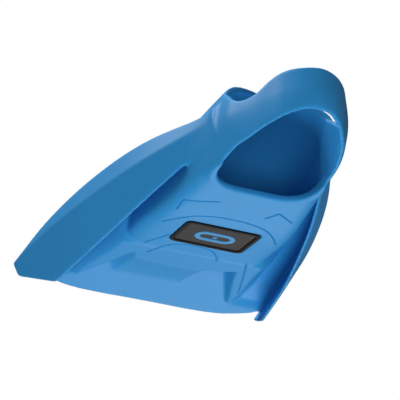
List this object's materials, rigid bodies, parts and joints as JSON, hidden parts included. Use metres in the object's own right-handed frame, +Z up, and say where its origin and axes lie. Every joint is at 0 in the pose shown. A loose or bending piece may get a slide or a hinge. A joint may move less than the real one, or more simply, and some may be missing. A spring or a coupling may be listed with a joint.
{
  "type": "short-blade swim training fin",
  "caption": "Short-blade silicone swim fin: closed-toe foot pocket, open heel with strap, chevron side rails, ribbed blade and an inlaid sole badge.",
  "frame": {"origin": "middle of the bounding box on the surface that the fin lies on, sole down", "axes": "+Z up from the sole to the instep, +Y from the heel strap to the blade tip, +X to the right seen from behind the heel"},
  "size_m": [0.213, 0.324, 0.068],
  "materials": {
    "blue_silicone": "satin moulded silicone, mid blue",
    "rail_silicone": "satin moulded silicone, mid blue, smooth flanks",
    "badge_charcoal": "matt charcoal silicone inlay",
    "badge_blue": "satin light blue silicone inlay"
  },
  "bodies": {
    "foot_pocket": {"sole": "blue_silicone", "right_pocket_wall": "blue_silicone", "left_pocket_wall": "blue_silicone", "instep": "blue_silicone", "toe_box": "blue_silicone", "toe_web": "blue_silicone", "toe_ramp_rear": "blue_silicone", "right_heel_wall": "blue_silicone", "left_heel_wall": "blue_silicone", "heel_strap": "blue_silicone", "right_rail_rear": "rail_silicone", "left_rail_rear": "rail_silicone", "right_side_web": "blue_silicone", "left_side_web": "blue_silicone", "right_rib_rear": "blue_silicone", "left_rib_rear": "blue_silicone", "badge_frame": "badge_charcoal", "badge_plate": "badge_charcoal", "badge_ring": "badge_blue", "badge_dot": "badge_blue"},
    "flex_blade": {"blade": "blue_silicone", "right_rail_front": "rail_silicone", "left_rail_front": "rail_silicone", "toe_ramp_front": "blue_silicone", "right_rib_front": "blue_silicone", "left_rib_front": "blue_silicone"}
  },
  "joints": [
    {"name": "blade_flex", "type": "hinge", "parent": "foot_pocket", "child": "flex_blade", "pos_m": [0, 0.105, 0.027], "axis": [1, 0, 0], "range_deg": [-12, 12], "stiffness_Nm_per_rad": 4}
  ]
}
